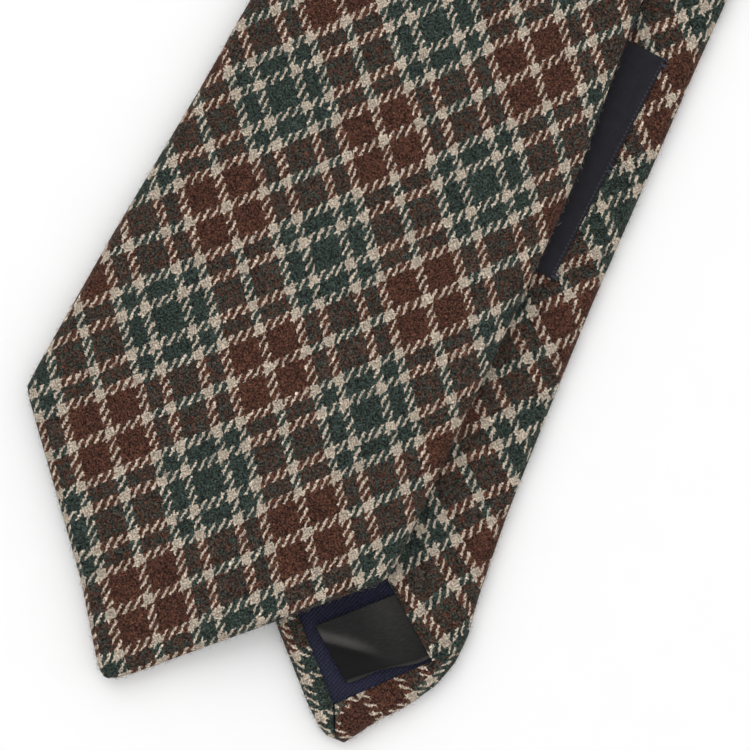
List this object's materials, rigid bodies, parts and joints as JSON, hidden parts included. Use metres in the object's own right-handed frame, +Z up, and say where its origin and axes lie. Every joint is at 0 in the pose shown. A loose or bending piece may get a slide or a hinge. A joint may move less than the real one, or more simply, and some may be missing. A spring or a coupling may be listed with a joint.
{
  "type": "necktie",
  "caption": "Woollen check necktie folded in half at the neck, front blade over the tail, with keeper loop, lined tips, blank maker's label and hinged care label.",
  "frame": {"origin": "middle of the base of the box round the tie, on the surface it lies on", "axes": "+Y from the tips to the neck fold, +Z up from the surface, +X to the tail's side"},
  "size_m": [0.106, 0.7396, 0.01],
  "materials": {
    "tweed": "brushed wool twill in a gun club check of brown, bottle green and oatmeal",
    "lining": "navy twill lining, slight sheen",
    "canvas": "brushed wool interlining",
    "thread": "navy sewing thread",
    "woven_label": "near-black damask woven label, blank",
    "satin": "black satin ribbon"
  },
  "bodies": {
    "tail_half": {"tail_shell": "tweed", "tail_interlining": "canvas", "tail_tipping": "lining", "tail_slip_stitch": "thread", "tail_bar_tack": "thread", "neck_shell_tail_side": "tweed", "neck_fold_cloth": "tweed", "neck_fold_interlining": "canvas", "maker_label": "woven_label", "maker_label_tack_left_low": "thread", "maker_label_tack_left_mid": "thread", "maker_label_tack_left_high": "thread", "maker_label_tack_right_low": "thread", "maker_label_tack_right_mid": "thread", "maker_label_tack_right_high": "thread"},
    "blade_half": {"blade_shell": "tweed", "blade_interlining": "canvas", "blade_tipping": "lining", "blade_slip_stitch": "thread", "blade_bar_tack": "thread", "neck_shell_blade_side": "tweed", "keeper_loop": "tweed", "keeper_tack_left": "thread", "keeper_tack_right": "thread"},
    "care_label": {"care_label": "satin"}
  },
  "joints": [
    {"name": "neck_fold", "type": "hinge", "parent": "tail_half", "child": "blade_half", "pos_m": [0.01174, 0.36482, 0.005], "axis": [-1, 0, 0], "range_deg": [0, 179.8], "deforming": ["neck_fold_cloth", "neck_fold_interlining"]},
    {"name": "care_label_lift", "type": "hinge", "parent": "tail_half", "child": "care_label", "pos_m": [0.04058, -0.33212, 0.0042], "axis": [-0.8223, 0.5691, 0], "range_deg": [0, 135]}
  ]
}
